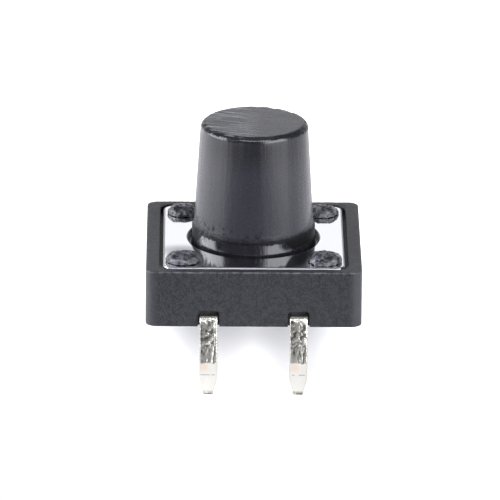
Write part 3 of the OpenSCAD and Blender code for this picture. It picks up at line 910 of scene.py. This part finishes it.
# Painted shade: the rolled edge of the hole is darkened in the colour.
hole_edge_shade = add_node(tree, "ShaderNodeMapRange", [
    from_axis, hole_radius + 0.05, hole_radius + punch_roll, 1.0, 0.0
], **soft)
from_stake = add_node(tree, "ShaderNodeVectorMath", [
    where, (-stake_at[0], -stake_at[1], plate_high)
], operation="DISTANCE")
strain = add_node(tree, "ShaderNodeMapRange", [from_stake, 0.6, 3.0, 0.0, 1.0], **soft)
bright_tin = add_node(tree, "ShaderNodeMix", [haze, "#eeeff2", "#f8f8fa"], data_type="RGBA")
shader = add_node(tree, "ShaderNodeBsdfPrincipled", {
    "Base Color": add_node(tree, "ShaderNodeMix", [
        hole_edge_shade,
        add_node(tree, "ShaderNodeMix", [sheared, bright_tin, "#b4b4ba"], data_type="RGBA"), "#4c4c50"
    ], data_type="RGBA"),
    "Metallic": 1.0,
    "Roughness": add_node(tree, "ShaderNodeMath", [
        sheared, 0.4, add_node(tree, "ShaderNodeMapRange", [haze, 0.3, 0.7, 0.05, 0.11], **soft)
    ], operation="MULTIPLY_ADD"),
    "Normal": add_node(tree, "ShaderNodeBump", {
        "Height": strain, "Distance": 0.095 * MM,
        "Normal": add_node(tree, "ShaderNodeBump", {"Height": marks, "Distance": 0.0012 * MM})
    })
})
add_node(tree, "ShaderNodeOutputMaterial", [shader])
make_piece("cover_sheet", plate_mesh, tin_plate, "cover_steel", "cover_plate")

# Stake heads: the ends of the housing's four posts, melted over the cover by a hot tool. The nylon has
# flowed into flat mushrooms with ragged rims and drawn creases, glossier than the moulded skin. The
# front two are a little larger than the back two.
head_tree, given = new_tree("melted stake heads", ["Spacing x", "Spacing y", "Radius", "Height", "Lip",
                                                    "Base height", "Post radius", "Post height", "Melt",
                                                    "Detail"])
ball = add_node(head_tree, "GeometryNodeMeshUVSphere", {"Segments": 96, "Rings": 64, "Radius": 1.0})
place = add_node(head_tree, "GeometryNodeInputPosition")
at_x, at_y, at_z = add_node(head_tree, "ShaderNodeSeparateXYZ", [place]).outputs
upper = add_node(head_tree, "ShaderNodeMath", [at_z, 0.0], operation="MAXIMUM")
lower = add_node(head_tree, "ShaderNodeMath", [
    add_node(head_tree, "ShaderNodeMath", [
        add_node(head_tree, "ShaderNodeMath", [at_z, 4.0], operation="MULTIPLY"), 0.0
    ], operation="MINIMUM"),
    -1.0
], operation="MAXIMUM")
rise = add_node(head_tree, "ShaderNodeMath", [
    upper,
    add_node(head_tree, "ShaderNodeMath", [
        given.outputs["Height"], given.outputs["Lip"]
    ], operation="SUBTRACT")
], operation="MULTIPLY")
top_of_lip = add_node(head_tree, "ShaderNodeMath", [
    lower, given.outputs["Lip"], given.outputs["Lip"]
], operation="MULTIPLY_ADD")
head_z = add_node(head_tree, "ShaderNodeMath", [rise, top_of_lip], operation="ADD")
squashed = add_node(head_tree, "ShaderNodeCombineXYZ", {
    "X": add_node(head_tree, "ShaderNodeMath", [at_x, given.outputs["Radius"]], operation="MULTIPLY"),
    "Y": add_node(head_tree, "ShaderNodeMath", [at_y, given.outputs["Radius"]], operation="MULTIPLY"),
    "Z": add_node(head_tree, "ShaderNodeMath", [head_z, given.outputs["Base height"]], operation="ADD")
})
mushroom = add_node(head_tree, "GeometryNodeSetPosition", {"Geometry": ball, "Position": squashed})
post = add_node(head_tree, "GeometryNodeMeshCylinder",
                {"Vertices": 48, "Radius": given.outputs["Post radius"],
                 "Depth": given.outputs["Post height"]})
post_z = add_node(head_tree, "ShaderNodeMath", [
    given.outputs["Post height"], -0.35, given.outputs["Base height"]
], operation="MULTIPLY_ADD")
post_up = add_node(head_tree, "ShaderNodeCombineXYZ", {"Z": post_z})
post = add_node(head_tree, "GeometryNodeTransform", {"Geometry": post, "Translation": post_up})
grid = add_node(head_tree, "GeometryNodeMeshGrid",
                {"Size X": given.outputs["Spacing x"], "Size Y": given.outputs["Spacing y"],
                 "Vertices X": 2, "Vertices Y": 2})


def at_grid(shape, scale):
    """One copy of a shape at each of the four stakes, made real."""
    copies = add_node(head_tree, "GeometryNodeInstanceOnPoints", {
        "Points": grid, "Instance": shape, "Scale": scale
    })
    return add_node(head_tree, "GeometryNodeRealizeInstances", {"Geometry": copies})


here = add_node(head_tree, "GeometryNodeInputPosition")
row = add_node(head_tree, "ShaderNodeSeparateXYZ", {"Vector": here}).outputs["Y"]
uneven = add_node(head_tree, "ShaderNodeMath", [
    add_node(head_tree, "ShaderNodeMapRange", [
        row, -stake_at[1] * MM, stake_at[1] * MM, 1.03, 0.93
    ], **soft),
    add_node(head_tree, "FunctionNodeRandomValue", {2: 0.97, 3: 1.02, "Seed": 3})
], operation="MULTIPLY")
uneven = add_node(head_tree, "ShaderNodeCombineXYZ", {"X": uneven, "Y": uneven, "Z": 1.0})
heads = at_grid(mushroom, uneven)
outwards = add_node(head_tree, "GeometryNodeInputNormal")
slow_flow = add_node(head_tree, "ShaderNodeTexNoise",
                     {"Vector": here, "Scale": 1.3 / MM, "Detail": 2.0})
quick_flow = add_node(head_tree, "ShaderNodeTexNoise",
                      {"Vector": here, "Scale": 4.5 / MM, "Detail": 2.0})
push = add_node(head_tree, "ShaderNodeMath", [
    add_node(head_tree, "ShaderNodeMath", [
        add_node(head_tree, "ShaderNodeMath", [slow_flow, 0.5], operation="SUBTRACT"), given.outputs["Melt"]
    ], operation="MULTIPLY"),
    add_node(head_tree, "ShaderNodeMath", [
        add_node(head_tree, "ShaderNodeMath", [quick_flow, 0.5], operation="SUBTRACT"),
        given.outputs["Detail"]
    ], operation="MULTIPLY")
], operation="ADD")
offset = add_node(head_tree, "ShaderNodeVectorMath", [outwards, push], operation="SCALE")
flowed = add_node(head_tree, "GeometryNodeSetPosition", {"Geometry": heads, "Offset": offset})
at_x, at_y, at_z = add_node(head_tree, "ShaderNodeSeparateXYZ", [here]).outputs
above_plate = add_node(head_tree, "ShaderNodeMath", [
    at_z, given.outputs["Base height"]
], operation="MAXIMUM")
flat_foot = add_node(head_tree, "ShaderNodeCombineXYZ",
                     {"X": at_x, "Y": at_y, "Z": above_plate})
seated = add_node(head_tree, "GeometryNodeSetPosition", {"Geometry": flowed, "Position": flat_foot})
joined = add_node(head_tree, "GeometryNodeJoinGeometry")
head_tree.links.new(seated.outputs[0], joined.inputs[0])
head_tree.links.new(at_grid(post, (1, 1, 1)).outputs[0], joined.inputs[0])
close_tree(head_tree, given, joined)

# The same nylon once melted: gloss black with a smeared, mottled skin.
melted_nylon, tree, where = new_finish("black nylon, melted and set")
smear = add_node(tree, "ShaderNodeTexNoise", [where, 3.2, 4.0, 0.6])
cloud = add_node(tree, "ShaderNodeTexNoise", [where, 2.0, 3.0, 0.55])
shader = add_node(tree, "ShaderNodeBsdfPrincipled", {
    "Base Color": add_node(tree, "ShaderNodeMix", [
        add_node(tree, "ShaderNodeMapRange", [smear, 0.4, 0.65, 0.0, 1.0], **soft), "#1e1e22", "#62626a"
    ], data_type="RGBA"),
    "Roughness": add_node(tree, "ShaderNodeMapRange", [cloud, 0.35, 0.65, 0.16, 0.36], **soft), "IOR": 1.53,
    "Normal": add_node(tree, "ShaderNodeBump", {"Height": smear, "Distance": 0.07 * MM})
})
add_node(tree, "ShaderNodeOutputMaterial", [shader])
head_sizes = {"Spacing x": 2 * stake_at[0], "Spacing y": 2 * stake_at[1], "Radius": 0.9, "Height": 0.5,
              "Lip": 0.05, "Base height": plate_high, "Post radius": 0.5, "Post height": 0.4,
              "Melt": 0.26, "Detail": 0.16}
head_mesh = grow(head_tree, bpy.data.meshes.new("stakes"),
                 {name: size * MM for name, size in head_sizes.items()}, melted_nylon)
make_piece("stake_heads", head_mesh, melted_nylon, "housing_plastic", smooth_below=60)

# Studio: the switch stands on a white card that runs far back, with a low white screen behind it. Soft
# boxes stand at its left and right and over its front, and white walls below them fill its sides. The
# front, where the camera looks in, is dark, which is what gives the gloss parts their black bands.
card_level = tip[1]
card_left, card_right, card_front, card_back = -32, 32, -52, 400

# The card glows up to white for the camera's rays. That glow is dimmed round the shadow's middle and
# close to the legs, which paints a deeper shadow there and a halo of painted shadow round each leg over
# the card's own shadow. Mirrors see it a little brighter than it is, most of all at its sides, and it
# turns dark towards the camera.
camera_lift = 0.32
halo_lift = 0.55
mirror_lift = 0.16
side_lift = 0.55
shadow_at = (-0.5, 7, card_level)
dark_from, dark_to = 12, 36
card_points = [(card_left, card_front, card_level), (card_right, card_front, card_level),
               (card_right, card_back, card_level), (card_left, card_back, card_level)]
card_mesh = bpy.data.meshes.new("card")
card_mesh.from_pydata([Vector(p) * MM for p in card_points], [], [(0, 1, 2, 3)])
card_finish, tree, where = new_finish("white card")
rays = add_node(tree, "ShaderNodeLightPath")
card_tooth = add_node(tree, "ShaderNodeTexNoise", [where, 0.9, 3.0, 0.55])
at_x, at_y, _ = add_node(tree, "ShaderNodeSeparateXYZ", [where]).outputs
aside = add_node(tree, "ShaderNodeMath", [at_x], operation="ABSOLUTE")
ahead = add_node(tree, "ShaderNodeMath", [
    add_node(tree, "ShaderNodeMath", [aside, 0.8], operation="MULTIPLY"), at_y
], operation="SUBTRACT")
from_legs = add_node(tree, "ShaderNodeMath", [
    add_node(tree, "ShaderNodeMath", [
        add_node(tree, "ShaderNodeMath", [aside, leg_x], operation="SUBTRACT")
    ], operation="ABSOLUTE"),
    add_node(tree, "ShaderNodeMath", [
        add_node(tree, "ShaderNodeMath", [at_y], operation="ABSOLUTE"), 6.5
    ], operation="SUBTRACT")
], operation="MAXIMUM")
from_shadow = add_node(tree, "ShaderNodeVectorMath", [where, shadow_at], operation="DISTANCE")
white_paper = add_node(tree, "ShaderNodeMix", [card_tooth, "#cfcfd3", "#d4d4d8"], data_type="RGBA")
paper = add_node(tree, "ShaderNodeBsdfDiffuse", {
    "Color": add_node(tree, "ShaderNodeMix", [
        add_node(tree, "ShaderNodeMapRange", [ahead, dark_from, dark_to, 0.0, 1.0], **soft), white_paper,
        "#18181a"
    ], data_type="RGBA")
})
# Painted shadow: the camera's glow dips round the shadow's middle and close to the legs.
to_camera = add_node(tree, "ShaderNodeMath", [
    add_node(tree, "ShaderNodeMapRange", [from_shadow, 2, 9, camera_lift, 1.0], **soft),
    add_node(tree, "ShaderNodeMapRange", [from_legs, 0.6, 2.9, halo_lift, 1.0], **soft)
], operation="MULTIPLY")
behind = add_node(tree, "ShaderNodeMath", [
    add_node(tree, "ShaderNodeMapRange", [aside, 8, 20, 0.0, side_lift], **soft),
    add_node(tree, "ShaderNodeMapRange", [at_y, -4, 6, 0.0, 1.0], **soft)
], operation="MULTIPLY")
to_mirrors = add_node(tree, "ShaderNodeMath", [
    add_node(tree, "ShaderNodeMapRange", [ahead, dark_from, dark_to, mirror_lift, 0.0], **soft), behind
], operation="ADD")
sent = add_node(tree, "ShaderNodeMath", [
    add_node(tree, "ShaderNodeMath", [rays.outputs["Is Camera Ray"], to_camera], operation="MULTIPLY"),
    add_node(tree, "ShaderNodeMath", [rays.outputs["Is Glossy Ray"], to_mirrors], operation="MULTIPLY")
], operation="ADD")
lift = add_node(tree, "ShaderNodeEmission", {"Color": (1, 1, 1, 1), "Strength": sent})
both = add_node(tree, "ShaderNodeAddShader", [paper, lift])
add_node(tree, "ShaderNodeOutputMaterial", [both])
card_mesh.materials.append(card_finish)
card = bpy.data.objects.new("card", card_mesh)
bpy.context.scene.collection.objects.link(card)

# What stands round the switch: the middle of its azimuth (0 is the camera's side, plus is right) and
# its half width, its lowest and highest elevation, all in degrees, its brightness and the blur of its edge.
surroundings = [(-89.5, 26.5, 2, 42, 7.4, 4),
                (-108, 53, -60, 8, 2.3, 4),
                (-38, 18, -60, 6, 0.9, 10),
                (0, 40, -60, 6, 0.22, 8),
                (47.5, 25.5, 2, 42, 6.6, 5),
                (49, 28, -60, 8, 2.5, 4),
                (127, 45, -60, 8, 1.3, 4),
                (180, 45, -60, 26.5, 1.08, 5),
                (-4, 46, 45, 55, 8.0, 2),
                (0, 200, 62, 90, 0.3, 6)]
room_dark = 0.08
studio_light = (0.975, 0.98, 1.02, 1)
world = bpy.data.worlds.new("studio")
bpy.context.scene.world = world
world.use_nodes = True
tree = world.node_tree
tree.nodes.clear()
direction = add_node(tree, "ShaderNodeTexCoord").outputs["Generated"]
up = add_node(tree, "ShaderNodeSeparateXYZ", {"Vector": direction}).outputs["Z"]
elevation = add_node(tree, "ShaderNodeMath", [
    add_node(tree, "ShaderNodeMath", [up], operation="ARCSINE")
], operation="DEGREES")
glow = room_dark
for azimuth, half_width, low, high, brightness, blur in surroundings:
    turned_to = add_node(tree, "ShaderNodeMapping",
                         {"Vector": direction, "Rotation": (0, 0, -math.radians(azimuth))})
    ahead = add_node(tree, "ShaderNodeSeparateXYZ", {"Vector": turned_to})
    aside = add_node(tree, "ShaderNodeMath", [
        ahead.outputs["X"],
        add_node(tree, "ShaderNodeMath", [ahead.outputs["Y"], -1.0], operation="MULTIPLY")
    ], operation="ARCTAN2")
    aside = add_node(tree, "ShaderNodeMath", [
        add_node(tree, "ShaderNodeMath", [aside], operation="ABSOLUTE")
    ], operation="DEGREES")
    inside = add_node(tree, "ShaderNodeMath", [
        add_node(tree, "ShaderNodeMapRange", [
            aside, half_width - blur, half_width + blur, 1.0, 0.0
        ], **soft),
        add_node(tree, "ShaderNodeMath", [
            add_node(tree, "ShaderNodeMapRange", [elevation, low - blur, low + blur, 0.0, 1.0], **soft),
            add_node(tree, "ShaderNodeMapRange", [elevation, high - blur, high + blur, 1.0, 0.0], **soft)
        ], operation="MULTIPLY")
    ], operation="MULTIPLY")
    glow = add_node(tree, "ShaderNodeMath", [
        glow, add_node(tree, "ShaderNodeMath", [inside, brightness], operation="MULTIPLY")
    ], operation="MAXIMUM")
seen = add_node(tree, "ShaderNodeLightPath").outputs["Is Camera Ray"]
strength = add_node(tree, "ShaderNodeMix", [seen, glow, 1.0])
tint = add_node(tree, "ShaderNodeMix", [seen, studio_light, (1, 1, 1, 1)], data_type="RGBA")
backdrop = add_node(tree, "ShaderNodeBackground", {"Color": tint, "Strength": strength})
add_node(tree, "ShaderNodeOutputWorld", [backdrop])

# Camera: a long lens a little above the switch, almost square on to its front.
camera_turn = math.radians(-0.51)
camera_tilt = math.radians(19.55)
camera_roll = math.radians(0.5)
camera_distance = 386.0
look_at = Vector((-0.185, 0, 2.4))
back = Vector((math.sin(camera_turn) * math.cos(camera_tilt),
               -math.cos(camera_turn) * math.cos(camera_tilt), math.sin(camera_tilt)))
level = (-back).cross(Vector((0, 0, 1))).normalized()
above = level.cross(-back)
right = math.cos(camera_roll) * level + math.sin(camera_roll) * above
above = -math.sin(camera_roll) * level + math.cos(camera_roll) * above
lens = bpy.data.cameras.new("camera")
lens.sensor_width = 36
lens.lens = 494.69
lens.clip_start = 0.01
lens.clip_end = 10
camera = bpy.data.objects.new("camera", lens)
camera.matrix_world = Matrix.Translation((look_at + back * camera_distance) * MM) @ Matrix(
    (right, above, back)).transposed().to_4x4()
bpy.context.scene.collection.objects.link(camera)
bpy.context.scene.camera = camera
bpy.context.scene.view_settings.view_transform = "Standard"
